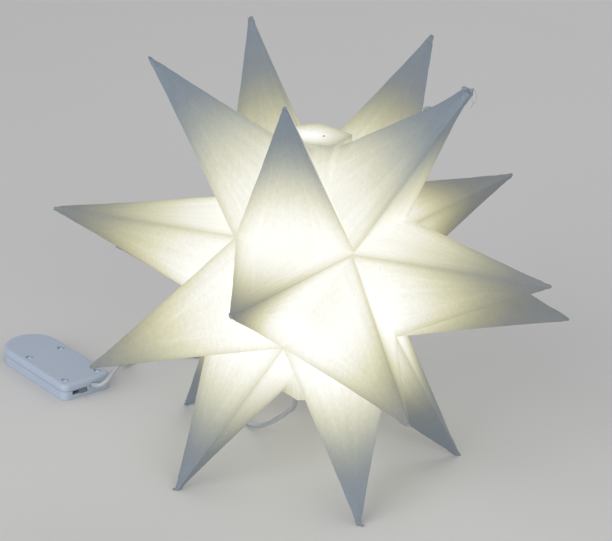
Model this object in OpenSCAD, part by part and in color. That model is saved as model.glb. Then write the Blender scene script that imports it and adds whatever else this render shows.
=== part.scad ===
// Star tree topper: a hollow printed star of twenty points in two shells, lit from inside by a string
// of lights that runs on a battery case. Millimetres. The star stands on its five feet at z = 0, its
// axis is the Z axis, and one of its upper points looks along -Y.

/* [Star] */
// Distance from the star's centre to the sharp end of every point
tip_radius = 105; // [90:1:130]
// Width of the flat that blunts every point
tip_flat = 0.8; // [0.4:0.1:2]
// Thickness of the printed walls
star_wall = 1; // [0.6:0.1:1.6]
// Angle that the cap has turned in its loose round seat
cap_twist = 6.4; // [-18:0.1:18]
// How far the cap has been pushed sideways in that seat
cap_shift_x = -3.6; // [-3.9:0.1:3.9]
// How far the cap has been pushed backwards in that seat
cap_shift_y = 0.6; // [-3.9:0.1:3.9]

/* [Crown and collar] */
// Distance from the axis to the corners of the flat crown on top
crown_r = 14.2; // [10:0.1:18]
// Height of the crown's flat above the valley that it covers
crown_rise = 8.6; // [7.5:0.1:14]
// Distance from the axis to the corners of the open collar underneath
collar_r = 15.4; // [14:0.1:19]
// Depth of the collar's mouth below the valley that it opens
collar_drop = 8.9; // [8:0.1:14]
// Width of the flat that blunts their corners
corner_flat = 0.8; // [0.4:0.1:1.6]

/* [Cap seat] */
// Radius of the round opening in the body's deck
seat_r = 28; // [27.5:0.1:29]
// Gap all round between that opening and the spigot of a cap that is not pushed aside
seat_gap = 4; // [3.5:0.1:4.5]
// Length of the spigot below the deck's face
spigot_len = 5; // [3:0.5:9]
// Wall of the spigot
spigot_wall = 1.2; // [0.8:0.1:2]

/* [Light string] */
// Number of lights on the wire
led_count = 10; // [4:1:12]
// Distance between two lights along the wire
led_pitch = 98; // [60:1:120]
// Diameter of a light's clear drop
led_d = 3; // [2:0.1:3.4]
// Length of a light's clear drop
led_len = 4.6; // [3:0.1:5]
// Diameter of the wire
wire_d = 0.8; // [0.6:0.05:1]
// Radius of the wire's coil inside the star
coil_r = 22; // [18:0.5:22.5]
// Rise of the coil in each turn after the first
coil_pitch = 5; // [4.5:0.1:6]
// Rise of the coil's first turn, which clears the sleeve
coil_first_rise = 3; // [2.8:0.1:5]
// Gap between the wire and what it passes through or rests on
wire_gap = 0.3; // [0.2:0.05:0.5]
// Length of the sleeve that joins the wire to the lead
sleeve_len = 12; // [8:0.5:16]
// Wall of the sleeve
sleeve_wall = 0.5; // [0.3:0.05:0.8]

/* [Lead] */
// Diameter of the lead
lead_d = 2; // [1.4:0.1:2.2]
// Gap between the lead and a hole that it passes through
lead_gap = 0.15; // [0.1:0.05:0.4]
// How far the lead reaches into the battery case
lead_inside = 4.6; // [4:0.1:6]
// Place of the lead's hole across the end of the case
lead_y = -2.1; // [-4:0.1:-1.6]

/* [Battery case] */
// Length of the case
case_len = 56; // [54:0.5:70]
// Width of the case, which is also the diameter of its round end
case_w = 25; // [24.5:0.1:30]
// Height of the case
case_h = 7.2; // [7.2:0.1:10]
// Thickness of the roof over the cells
case_roof = 1.2; // [0.8:0.1:1.6]
// Thickness of the end wall that the lead goes through
case_end = 1.4; // [1:0.1:2]
// Radius of the two upright corners at the lead's end
case_corner = 3; // [2.2:0.1:5]
// Rounding of the lid's upper edge
case_edge = 1.6; // [0.6:0.1:2]
// Height at which the two halves part, where the lead also comes out
case_split = 4; // [3.8:0.1:4.4]
// Thickness of the switch bay's floor
case_floor = 1.4; // [1.3:0.1:1.6]

/* [Cells and contacts] */
// Diameter of a coin cell
cell_d = 20; // [18:0.1:20]
// Height of a coin cell
cell_h = 3.2; // [2.5:0.1:3.3]
// Gap between a cell and its round pocket
cell_gap = 0.3; // [0.2:0.05:0.5]
// Gap between a cell and a contact
contact_gap = 0.15; // [0.1:0.05:0.2]
// Thickness of the contact strips
strip_t = 0.3; // [0.2:0.05:0.4]
// Width of the contact strips
strip_w = 3; // [2:0.1:3.2]
// Room left round the contact strips
strip_gap = 0.3; // [0.2:0.05:0.4]
// Place of the strip that reaches the first cell, across the case
minus_y = -4; // [-4.4:0.1:-3.6]

/* [Door] */
// Width of the door
door_w = 20.8; // [20.7:0.1:21.4]
// Height of the door's underside above the case's underside
door_lift = 0.2; // [0.1:0.05:0.3]
// Thickness of the door
door_t = 1; // [0.9:0.05:1.1]
// Width of the tongues along the door's edges
tongue_w = 0.6; // [0.4:0.05:0.8]
// Thickness of the tongues
tongue_t = 0.4; // [0.3:0.05:0.5]
// Gap between the door and the case
door_gap = 0.2; // [0.15:0.05:0.3]

/* [Switch] */
// Width of the switch's knob along its travel
knob_w = 3.6; // [3:0.1:3.8]
// Thickness of the knob
knob_h = 1.5; // [1:0.1:1.6]
// How far the knob stands out of the end wall
knob_out = 0.9; // [0.5:0.1:1.4]
// Place of the knob across the end of the case, when switched on
switch_y = 2.7; // [2.6:0.1:3]
// Height of the knob's middle
switch_z = 2.8; // [2.7:0.05:2.9]
// Travel of the switch
switch_travel = 3.4; // [2.6:0.1:3.4]
// Gap between the switch and the case
switch_gap = 0.2; // [0.15:0.05:0.3]
// Thickness of the plate behind the end wall that carries the knob
plate_t = 1.8; // [1.4:0.1:2]
// How far that plate reaches past the knob on each side
plate_edge = 0.3; // [0.2:0.05:0.5]
// Width of the clip on that plate
clip_w = 1.6; // [1.2:0.1:1.8]

/* [Pins] */
// Diameter of a pin's shank
pin_d = 1.8; // [1.4:0.1:2]
// Diameter of a pin's head
pin_head_d = 2.8; // [2.4:0.1:3]
// Diameter of the dimple that a head sits in
pin_dimple_d = 3.4; // [3.2:0.1:3.8]
// Depth of that dimple
pin_dimple = 1; // [0.8:0.1:1.1]
// Distance of the pins from the case's long sides
pin_edge = 4.2; // [3.4:0.1:4.4]
// Distance of the first pair of pins from the lead's end
pin_end = 5.2; // [5:0.1:5.6]
// Gap between a pin and its bore
pin_gap = 0.1; // [0.05:0.05:0.2]
// Depth of a head's top below the lid's face
pin_sink = 0.25; // [0.1:0.05:0.4]

/* [Hidden] */
$fn = 64;
LEDS = [for (k = [1:led_count]) str("led_", k)];

// Overlap that makes a cut clean
cut = 0.5;

// The star: every face lies at the same distance from the centre, in one of twelve planes, so an even
// wall is the same star on a smaller scale
golden = (1 + sqrt(5)) / 2;
core_r = tip_radius * sqrt((5 - 2 * sqrt(5)) / 3);
face_z = core_r / sqrt(5);
valley_r = 2 * face_z;
tip_hi_z = tip_radius * sqrt((5 + 2 * sqrt(5)) / 15);
tip_lo_z = tip_radius * sqrt((5 - 2 * sqrt(5)) / 15);
tip_hi_r = sqrt(tip_radius * tip_radius - tip_hi_z * tip_hi_z);
tip_lo_r = sqrt(tip_radius * tip_radius - tip_lo_z * tip_lo_z);
tip_cut = tip_flat * sin(72) / core_r;
star_z = tip_hi_z - tip_cut * (tip_hi_z - core_r);
inside = (face_z - star_wall) / face_z;
front = 270;

function polar(r, az, z) = [r * cos(az), r * sin(az), z];
function valleys() = concat(
    [[0, 0, core_r]],
    [for (k = [0:4]) polar(valley_r, front + 36 + 72 * k, face_z)],
    [for (k = [0:4]) polar(valley_r, front + 72 * k, -face_z)],
    [[0, 0, -core_r]]
);
// A point is its tip and the three valleys around its foot, counter-clockwise from outside
function top_points() = [for (k = [0:4])
    [polar(tip_hi_r, front + 72 * k, tip_hi_z), [0, 1 + (k + 4) % 5, 1 + k]]];
function side_points() = concat(
    [for (k = [0:4])
        [polar(tip_lo_r, front + 72 * k, tip_lo_z), [1 + k, 1 + (k + 4) % 5, 6 + k]]],
    [for (k = [0:4])
        [polar(tip_lo_r, front + 36 + 72 * k, -tip_lo_z), [6 + k, 6 + (k + 1) % 5, 1 + k]]],
    [for (k = [0:4])
        [polar(tip_hi_r, front + 36 + 72 * k, -tip_hi_z), [6 + (k + 1) % 5, 6 + k, 11]]]
);

// Coil of the light string, around the star's axis
turn_steps = 24;
step_angle = 360 / turn_steps;
step_len = 2 * coil_r * sin(step_angle / 2);
led_steps = round(led_pitch / step_len);
end_steps = 4;
coil_steps = (led_count - 1) * led_steps + 2 * end_steps;
coil_turn = 65;
coil_start = front + coil_turn;
valley_slope = atan(1 / golden);
coil_z = star_z - inside * core_r + coil_r / golden + (wire_d / 2 + wire_gap) / cos(valley_slope);
coil_dir = [cos(coil_start + 90), sin(coil_start + 90), 0];
sleeve_ahead = 2;
sleeve_r = lead_d / 2 + lead_gap;
join_back = sleeve_ahead + sleeve_len / 2;

function coil_rise(n) = coil_first_rise * min(n, 1) + coil_pitch * max(n - 1, 0);
function coil_point(i) = polar(coil_r, coil_start + i * step_angle, coil_z + coil_rise(i / turn_steps));
function coil_path() = [for (i = [0:coil_steps]) coil_point(i)];
function wire_path() = concat([coil_point(0) - join_back * coil_dir], coil_path());
function far_pairs(p) = [for (i = [0:len(p) - 1], j = [i + 4:1:len(p) - 1]) norm(p[i] - p[j])];
function least_gap(p) = min(far_pairs(p)) - wire_d;
echo(coil_length = coil_steps * step_len, coil_least_gap = least_gap(wire_path()));

// Place of the battery case on the table: the middle of its lead end, and the way its length runs
case_at = [-102.8, 12.4, 0];
case_turn = 148;
function case_point(x, y, z) = case_at + [
    x * cos(case_turn) - y * sin(case_turn),
    x * sin(case_turn) + y * cos(case_turn),
    z
];

// Route of the lead: up inside the collar to the sleeve, and from the collar's mouth to the case
mouth_z = star_z - core_r - collar_drop;
mouth_at = [-2.4, -10.7];
// Its bend over the foot of the star, with heights above the lowest valley
over_foot = [
    [-2.4, -10.7, -4.7], [-2.4, -10.7, 0.3], [-2.2, -10.9, 6.3], [-1, -12.2, 11.3], [1.5, -15.5, 14.3],
    [4.5, -19.8, 15.5], [8, -23.2, 16.1], [11.6, -24.2, 16.5]
];
inner_route = concat(
    [[mouth_at.x, mouth_at.y, mouth_z]],
    [for (p = over_foot) [p.x, p.y, star_z - core_r + p.z]],
    [for (back = [sleeve_ahead + sleeve_len, join_back]) coil_point(0) - back * coil_dir]
);
// Its last stretch, measured from the middle of the case's end
beside_case = [
    [11.4, -49, 1], [14.2, -41.8, 1], [14.6, -34.9, 1.1], [12.8, -29, 2], [9.9, -24.3, 3.7],
    [6.5, -20.2, 5.6], [1.8, -16.7, 7.8], [-2.3, -13.4, 9.7], [-4.5, -9.6, 9.4], [-5.3, -7, 7.9],
    [-5, -5.2, 6.3], [-3.6, -3.7, 4.9], [-1.6, -2.6, 4.2]
];
free_route = concat(
    [[mouth_at.x, mouth_at.y, mouth_z]],
    [[-2.4, -10.7, 26.5], [-3.6, -9.6, 23], [-6.5, -6.6, 19.5], [-10, -3, 15], [-14, 1, 10.5]],
    [[-18.5, 4.8, 6], [-24, 8, 2.5], [-29.5, 12, 1.1], [-34, 19, 1], [-38, 30, 1], [-42, 43, 1]],
    [[-49, 55, 1], [-58, 62, 1], [-69, 66, 1], [-80, 64, 1]],
    [for (p = beside_case) case_point(p.x, p.y, p.z)],
    [for (x = [0.2, 2.4, lead_inside]) case_point(x, lead_y, case_split)]
);

// Places inside the case, along its length from the lead's end
pocket_r = cell_d / 2 + cell_gap;
pocket_overlap = 0.2;
cell_1_x = case_len - case_w / 2;
cell_2_x = cell_1_x - 2 * pocket_r + pocket_overlap;
pin_x = [pin_end, (cell_1_x + cell_2_x) / 2];
pin_y = case_w / 2 - pin_edge;
pin_bore_d = pin_d + 2 * pin_gap;
dimple_z = case_h - pin_dimple;
bay_wall = 1;
bay_end = cell_2_x - pocket_r - bay_wall;
bay_y = pin_y - pin_bore_d / 2 - bay_wall;
door_x = bay_end + bay_wall / 2;
tongue_z = door_lift + door_t / 2;
roof_z = case_h - case_roof;
bridge_z = door_lift + door_t;
cell_z = bridge_z + strip_t + contact_gap;
plate_x = case_end + switch_gap;
plate_y = knob_w / 2 + plate_edge;
plus_y = switch_y - 0.2;

// Smooth path through points, with steps on each stretch
function blend4(a, b, c, d, t) = 0.5 * (2 * b + (c - a) * t + (2 * a - 5 * b + 4 * c - d) * t * t
    + (3 * b - a - 3 * c + d) * t * t * t);
function smooth(p, steps) = concat(
    [for (i = [0:len(p) - 2], k = [0:steps - 1])
        blend4(
            i == 0 ? 2 * p[0] - p[1] : p[i - 1],
            p[i],
            p[i + 1],
            i == len(p) - 2 ? 2 * p[i + 1] - p[i] : p[i + 2],
            k / steps
        )],
    [p[len(p) - 1]]
);

// Tube swept along a path: a ring of sides at every point, turned as little as the path allows
function unit(v) = v / norm(v);
function headings(p) = [for (i = [0:len(p) - 1]) unit(p[min(i + 1, len(p) - 1)] - p[max(i - 1, 0)])];
function square_to(n, t) = unit(n - (n * t) * t);
function sideways(t, n, i = 0) = i == len(t) ? [] :
    let (m = square_to(n, t[i])) concat([m], sideways(t, m, i + 1));
function first_side(t) = abs(t.z) < 0.9 ? cross(t, [0, 0, 1]) : [1, 0, 0];

module tube(path, d, sides) {
    t = headings(path);
    n = sideways(t, first_side(t[0]));
    last = (len(path) - 1) * sides;
    polyhedron(
        points = [for (i = [0:len(path) - 1], j = [0:sides - 1])
            let (a = 360 * j / sides)
            path[i] + d / 2 * (cos(a) * n[i] + sin(a) * cross(t[i], n[i]))],
        faces = concat(
            [for (i = [0:len(path) - 2], j = [0:sides - 1], half = [0, 1])
                let (a = i * sides + j, b = i * sides + (j + 1) % sides)
                half == 0 ? [a, a + sides, b] : [b, a + sides, b + sides]],
            [for (j = [1:sides - 2]) [0, j, j + 1]],
            [for (j = [1:sides - 2]) [last, last + j + 1, last + j]]
        )
    );
}

// Star of the given points, closed by a flat face where the two shells part
module star_solid(points, seam) {
    core = valleys();
    polyhedron(
        points = concat(core, [for (p = points, i = [0:2]) p[0] + tip_cut * (core[p[1][i]] - p[0])]),
        faces = concat(
            [seam],
            [for (n = [0:len(points) - 1]) let (a = 12 + 3 * n) [a + 2, a + 1, a]],
            [for (n = [0:len(points) - 1], i = [0:2])
                let (a = 12 + 3 * n, j = (i + 1) % 3, foot = points[n][1])
                [a + i, a + j, foot[j], foot[i]]]
        )
    );
}

module body_solid() star_solid(side_points(), [5, 4, 3, 2, 1]);
module cap_solid() star_solid(top_points(), [1, 2, 3, 4, 5]);

// Five-sided prism with its blunted corners in the valleys
module five_sided(corner_r, turn, z_low, z_high) {
    half = asin(corner_flat / 2 / corner_r);
    translate([0, 0, z_low])
        linear_extrude(z_high - z_low)
            polygon([for (k = [0:4], side = [-1, 1])
                let (a = turn + 72 * k + side * half)
                corner_r * [cos(a), sin(a)]]);
}

function inner_corner(r) = r - star_wall / cos(36);

module star_body() {
    color("lightyellow")
        translate([0, 0, star_z])
            difference() {
                union() {
                    body_solid();
                    five_sided(collar_r, front, -core_r - collar_drop, collar_r - core_r);
                }
                scale(inside) body_solid();
                five_sided(inner_corner(collar_r), front, -core_r - collar_drop - cut,
                    collar_r - core_r + cut);
                translate([0, 0, face_z - star_wall - cut])
                    cylinder(r = seat_r, h = star_wall + 2 * cut);
            }
}

module star_cap() {
    spigot_r = seat_r - seat_gap;
    color("ivory")
        translate([cap_shift_x, cap_shift_y, star_z])
            rotate(cap_twist)
                difference() {
                    union() {
                        cap_solid();
                        five_sided(crown_r, front + 36, core_r - crown_r, core_r + crown_rise);
                        translate([0, 0, face_z - spigot_len])
                            cylinder(r = spigot_r, h = spigot_len + star_wall);
                    }
                    intersection() {
                        scale(inside) cap_solid();
                        translate([-tip_radius, -tip_radius, face_z + star_wall])
                            cube([2 * tip_radius, 2 * tip_radius, tip_radius]);
                    }
                    five_sided(inner_corner(crown_r), front + 36, face_z + 2 * star_wall,
                        core_r + crown_rise - star_wall);
                    translate([0, 0, face_z - spigot_len - cut])
                        cylinder(r = spigot_r - spigot_wall, h = spigot_len + star_wall + 2 * cut);
                }
}

module light_wire() {
    color("silver") tube(wire_path(), wire_d, 6);
}

// Clear drop on the wire, at the middle of one of the coil's short straight steps
module led(k) {
    here = end_steps + (k - 1) * led_steps;
    a = coil_point(here);
    b = coil_point(here + 1);
    run = b - a;
    bulge = (led_len * led_len / 4 + led_d * led_d / 4) / led_d;
    inset = bulge - led_d / 2;
    end_angle = acos((wire_d / 2 + wire_gap + inset) / bulge);
    bands = 8;
    color("gold")
        translate((a + b) / 2)
            rotate([0, acos(run.z / norm(run)), atan2(run.y, run.x)])
                rotate_extrude()
                    polygon([for (i = [0:bands])
                        let (t = end_angle * (2 * i / bands - 1))
                        [bulge * cos(t) - inset, bulge * sin(t)]]);
}

module splice_sleeve() {
    color("dimgray")
        translate(coil_point(0))
            rotate(coil_start + 90)
                rotate([0, -90, 0])
                    translate([0, 0, sleeve_ahead])
                        difference() {
                            cylinder(r = sleeve_r + sleeve_wall, h = sleeve_len);
                            translate([0, 0, -cut]) cylinder(r = sleeve_r, h = sleeve_len + 2 * cut);
                        }
}

module inner_lead() {
    color("lightgray") tube(smooth(inner_route, 2), lead_d, 8);
}

module lead_cord() {
    color("lightgray") tube(smooth(free_route, 3), lead_d, 8);
}

module on_table() translate(case_at) rotate(case_turn) children();

// Outline of the case: round at the far end, squared at the lead's end
module case_plan() {
    translate([cell_1_x, 0]) circle(d = case_w);
    translate([case_corner, -case_w / 2]) square([cell_1_x - case_corner, case_w]);
    translate([0, case_corner - case_w / 2]) square([case_corner + cut, case_w - 2 * case_corner]);
    for (side = [-1, 1])
        translate([case_corner, side * (case_w / 2 - case_corner)]) circle(r = case_corner);
}

// Half section of a disc with a rounded upper edge
module edge_section(r, h) {
    square([r - case_edge, h]);
    square([r, h - case_edge]);
    translate([r - case_edge, h - case_edge])
        intersection() {
            circle(r = case_edge);
            square(case_edge);
        }
}

// The lid's outside: the same outline with its upper edge rounded
module lid_solid(h) {
    translate([cell_1_x, 0, 0])
        rotate_extrude() edge_section(case_w / 2, h);
    for (side = [-1, 1]) {
        translate([case_corner, side * (case_w / 2 - case_corner), 0])
            rotate_extrude() edge_section(case_corner, h);
        translate([case_corner, 0, 0])
            rotate([90, 0, 90])
                linear_extrude(cell_1_x - case_corner)
                    mirror([side < 0 ? 1 : 0, 0]) edge_section(case_w / 2, h);
    }
    translate([case_corner, case_w / 2 - case_corner, 0])
        rotate([90, 0, 0])
            linear_extrude(case_w - 2 * case_corner)
                mirror([1, 0]) edge_section(case_corner, h);
}

module at_pins() {
    for (x = pin_x, side = [-1, 1])
        translate([x, side * pin_y, 0]) children();
}

module pockets(z_low, z_high) {
    for (x = [cell_1_x, cell_2_x])
        translate([x, 0, z_low]) cylinder(r = pocket_r, h = z_high - z_low);
    translate([case_end, -bay_y, max(z_low, case_floor)])
        cube([bay_end - case_end, 2 * bay_y, z_high - max(z_low, case_floor)]);
}

module lead_hole() {
    translate([-cut, lead_y, case_split])
        rotate([0, 90, 0])
            cylinder(r = lead_d / 2 + lead_gap, h = case_end + 2 * cut);
}

// Room that the switch needs: the slot for its knob, and behind the wall the bed of its plate
module switch_room() {
    slot_h = knob_h + 2 * switch_gap;
    slot_w = switch_travel + knob_w + 2 * switch_gap;
    bed_w = switch_travel + 2 * plate_y + 2 * switch_gap;
    translate([-cut, switch_y - knob_w / 2 - switch_gap, switch_z - slot_h / 2])
        cube([case_end + 2 * cut, slot_w, slot_h]);
    translate([case_end, switch_y - plate_y - switch_gap, case_floor])
        cube([plate_t + 2 * switch_gap, bed_w, case_split]);
}

module case_base() {
    slot_w = door_w + 2 * door_gap;
    groove_w = slot_w + 2 * tongue_w;
    groove_h = tongue_t + 2 * door_gap;
    reach = case_len - door_x + door_gap + cut;
    color("aliceblue")
        on_table()
            difference() {
                linear_extrude(case_split) case_plan();
                pockets(-cut, case_split + cut);
                translate([door_x - door_gap, -slot_w / 2, -cut]) cube([reach, slot_w, cell_z + cut]);
                translate([door_x - door_gap, -groove_w / 2, tongue_z - groove_h / 2])
                    cube([reach, groove_w, groove_h]);
                lead_hole();
                at_pins()
                    translate([0, 0, case_floor]) cylinder(d = pin_bore_d, h = case_split);
                switch_room();
            }
}

module case_lid() {
    strip_room = strip_t + strip_gap;
    strip_bed = strip_w + 2 * strip_gap;
    color("aliceblue")
        on_table()
            difference() {
                translate([0, 0, case_split]) lid_solid(case_h - case_split);
                pockets(case_split - cut, roof_z);
                lead_hole();
                for (y = [plus_y, minus_y])
                    translate([bay_end - cut, y - strip_bed / 2, roof_z - strip_room])
                        cube([cell_1_x - bay_end, strip_bed, strip_room]);
                at_pins() {
                    translate([0, 0, dimple_z]) cylinder(d = pin_dimple_d, h = pin_dimple + cut);
                    cylinder(d = pin_bore_d, h = case_h);
                }
            }
}

module case_pins() {
    foot_z = case_floor + 2 * pin_gap;
    head_h = pin_dimple - pin_sink;
    dome_r = (pin_head_d * pin_head_d / 4 + head_h * head_h) / (2 * head_h);
    color("white")
        on_table()
            at_pins() {
                translate([0, 0, foot_z]) cylinder(d = pin_d, h = dimple_z + head_h / 2 - foot_z);
                translate([0, 0, dimple_z])
                    intersection() {
                        cylinder(d = pin_head_d, h = head_h);
                        translate([0, 0, head_h - dome_r]) sphere(r = dome_r);
                    }
            }
}

module battery_door() {
    full_w = door_w + 2 * tongue_w;
    grip_count = 4;
    grip_w = 0.8;
    grip_len = 8;
    grip_depth = 0.4;
    grip_back = 9;
    grip_x = case_len - grip_back;
    color("aliceblue")
        on_table()
            difference() {
                union() {
                    translate([0, 0, door_lift])
                        linear_extrude(door_t)
                            intersection() {
                                case_plan();
                                translate([door_x, -door_w / 2]) square([case_len, door_w]);
                            }
                    translate([door_x, -full_w / 2, tongue_z - tongue_t / 2])
                        cube([cell_1_x - door_x, full_w, tongue_t]);
                }
                for (rib = [0:grip_count - 1])
                    translate([grip_x + 2 * grip_w * rib, -grip_len / 2, door_lift - cut])
                        cube([grip_w, grip_len, cut + grip_depth]);
            }
}

// Coin cell: the can wraps the rim, and the smaller cap stands proud of one face
module coin_cell(x, cap_up) {
    rim = 0.35;
    can_r = cell_d / 2;
    cap_r = can_r - 4 * rim;
    color("silver")
        on_table()
            translate([x, 0, cell_z + (cap_up ? 0 : cell_h)])
                mirror([0, 0, cap_up ? 0 : 1])
                    rotate_extrude()
                        polygon([
                            [0, 0], [can_r - rim, 0], [can_r, rim], [can_r, cell_h - 2 * rim],
                            [can_r - rim, cell_h - rim], [cap_r, cell_h - rim],
                            [cap_r - rim / 2, cell_h], [0, cell_h]
                        ]);
}

module coin_cell_1() coin_cell(cell_1_x, true);
module coin_cell_2() coin_cell(cell_2_x, false);

// Strip on the door that joins the undersides of the two cells
module bridge_contact() {
    pad_r = 4;
    color("gold")
        on_table()
            translate([0, 0, bridge_z])
                linear_extrude(strip_t) {
                    for (x = [cell_1_x, cell_2_x])
                        translate([x, 0]) circle(r = pad_r);
                    translate([cell_2_x, -strip_w / 2]) square([cell_1_x - cell_2_x, strip_w]);
                }
}

// Leaf spring under the lid's roof, bent down to the upper face of a cell
module spring_contact(tab_x, cell_x, y) {
    bend_x = cell_x - 6;
    toe_x = cell_x + 2;
    low = cell_z + cell_h + contact_gap;
    toe_lift = roof_z - low - 2 * strip_t;
    color("gold")
        on_table()
            translate([0, y + strip_w / 2, 0])
                rotate([90, 0, 0])
                    linear_extrude(strip_w)
                        polygon([
                            [tab_x, roof_z], [bend_x, roof_z], [cell_x, low + strip_t],
                            [toe_x, low + strip_t + toe_lift], [toe_x, low + toe_lift],
                            [cell_x, low], [bend_x, roof_z - strip_t], [tab_x, roof_z - strip_t]
                        ]);
}

module spring_contact_plus() spring_contact(plate_x + plate_t, cell_2_x, plus_y);
module spring_contact_minus() spring_contact(lead_inside + 2, cell_1_x, minus_y);

module switch_slider() {
    plate_low = case_floor + switch_gap;
    plate_h = case_split - switch_gap - plate_low;
    groove_pitch = knob_w / 3;
    groove_w = 0.4;
    color("white")
        on_table()
            translate([0, switch_y, 0])
                difference() {
                    union() {
                        translate([plate_x, -plate_y, plate_low])
                            cube([plate_t, 2 * plate_y, plate_h]);
                        translate([-knob_out, -knob_w / 2, switch_z - knob_h / 2])
                            cube([plate_x + knob_out + cut, knob_w, knob_h]);
                    }
                    for (g = [-1, 0, 1])
                        translate([-knob_out - cut, groove_pitch * g - groove_w / 2, switch_z - knob_h])
                            cube([cut + groove_w, groove_w, 2 * knob_h]);
                }
}

// Leaf on the slider that reaches up to the plus strip's tab, clear of the bay's wall at full travel
module switch_clip() {
    back = plate_x + plate_t;
    top = roof_z - strip_t - contact_gap;
    foot = case_floor + 2 * switch_gap;
    reach = back + clip_w;
    low_y = switch_y - plate_y + 2 * switch_gap;
    color("gold")
        on_table()
            translate([0, low_y + clip_w, 0])
                rotate([90, 0, 0])
                    linear_extrude(clip_w)
                        polygon([
                            [back, foot], [back, top], [reach, top], [reach, top - strip_t],
                            [back + strip_t, top - strip_t], [back + strip_t, foot]
                        ]);
}

star_body();
star_cap();
light_wire();
for (k = [1:led_count]) led(k);
splice_sleeve();
inner_lead();
lead_cord();
case_base();
case_lid();
case_pins();
battery_door();
coin_cell_1();
coin_cell_2();
bridge_contact();
spring_contact_plus();
spring_contact_minus();
switch_slider();
switch_clip();
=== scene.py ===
import math

import bmesh
import bpy
import numpy as np
from mathutils import Matrix, Vector, noise


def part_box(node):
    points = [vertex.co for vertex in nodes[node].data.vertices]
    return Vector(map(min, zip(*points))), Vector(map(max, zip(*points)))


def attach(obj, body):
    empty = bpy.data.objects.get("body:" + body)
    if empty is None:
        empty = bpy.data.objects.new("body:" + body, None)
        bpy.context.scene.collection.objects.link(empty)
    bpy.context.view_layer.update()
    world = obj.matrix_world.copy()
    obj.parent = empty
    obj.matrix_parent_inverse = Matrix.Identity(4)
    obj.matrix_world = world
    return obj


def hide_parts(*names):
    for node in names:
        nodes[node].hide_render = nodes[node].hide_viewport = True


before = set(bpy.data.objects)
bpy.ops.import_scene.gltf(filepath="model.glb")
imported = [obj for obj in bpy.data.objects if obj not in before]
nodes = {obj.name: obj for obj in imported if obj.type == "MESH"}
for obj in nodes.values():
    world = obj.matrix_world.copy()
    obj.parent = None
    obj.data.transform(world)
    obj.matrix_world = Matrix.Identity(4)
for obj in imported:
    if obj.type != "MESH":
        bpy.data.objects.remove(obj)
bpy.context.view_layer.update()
mm = 0.001
noise.seed_set(3)   # the same unevenness at every run
print("frame loaded,", len(nodes), "solids")


class Wire:  # a socket in a node tree; arithmetic on it adds Math nodes
    def __init__(self, tree, socket=None):
        self.tree = tree
        self.socket = socket

    def add(self, kind, settings=None, sockets=None, out=0):  # any node: settings first, then its sockets
        node = self.tree.nodes.new(kind)
        for name, value in (settings or {}).items():
            if name == "stops":
                fillRamp(node.color_ramp, value)
            else:
                setattr(node, name, value)
        for name, value in (sockets or {}).items():
            if isinstance(value, Wire):
                self.tree.links.new(value.socket, node.inputs[name])
            else:
                node.inputs[name].default_value = value
        return Wire(self.tree, node.outputs[out])

    def math(self, operation, *values):
        return self.add("ShaderNodeMath", {"operation": operation}, dict(enumerate(values)))

    def clamp(self):
        return self.add("ShaderNodeMath", {"operation": "ADD", "use_clamp": True}, {0: self, 1: 0.0})

    def __add__(self, other):
        return self.math("ADD", self, other)

    def __sub__(self, other):
        return self.math("SUBTRACT", self, other)

    def __rsub__(self, other):
        return self.math("SUBTRACT", other, self)

    def __mul__(self, other):
        return self.math("MULTIPLY", self, other)

    __radd__ = __add__
    __rmul__ = __mul__


def fillRamp(ramp, stops):
    while len(ramp.elements) < len(stops):
        ramp.elements.new(0.5)
    for element, (place, colour) in zip(ramp.elements, stops):
        element.position = place
        element.color = (*colour, 1)


def newMaterial(name):  # empty Principled material, and a Wire to add nodes with
    material = bpy.data.materials.new(name)
    material.use_nodes = True
    tree = material.node_tree
    shader = tree.nodes["Principled BSDF"]
    return material, shader, Wire(tree)


def feed(shader, **sockets):  # values or links into the shader, by name with the spaces left out
    byName = {s.name.replace(" ", ""): s for s in shader.inputs}
    for name, value in sockets.items():
        if isinstance(value, Wire):
            value.tree.links.new(value.socket, byName[name])
        else:
            byName[name].default_value = value


def mixColour(wire, factor, first, second):
    return wire.add("ShaderNodeMix", {"data_type": "RGBA"}, {0: factor, 6: first, 7: second}, out=2)


def grain(wire, scale, detail=2.0, stretch=(1, 1, 1)):  # noise in the piece's own metres
    place = wire.add("ShaderNodeTexCoord", out="Object")
    place = wire.add("ShaderNodeVectorMath", {"operation": "MULTIPLY"}, {0: place, 1: stretch})
    return wire.add("ShaderNodeTexNoise", None, {"Vector": place, "Scale": scale, "Detail": detail})


def bump(wire, height, depth):
    return wire.add("ShaderNodeBump", None, {"Height": height, "Distance": depth, "Strength": 1.0})


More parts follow.
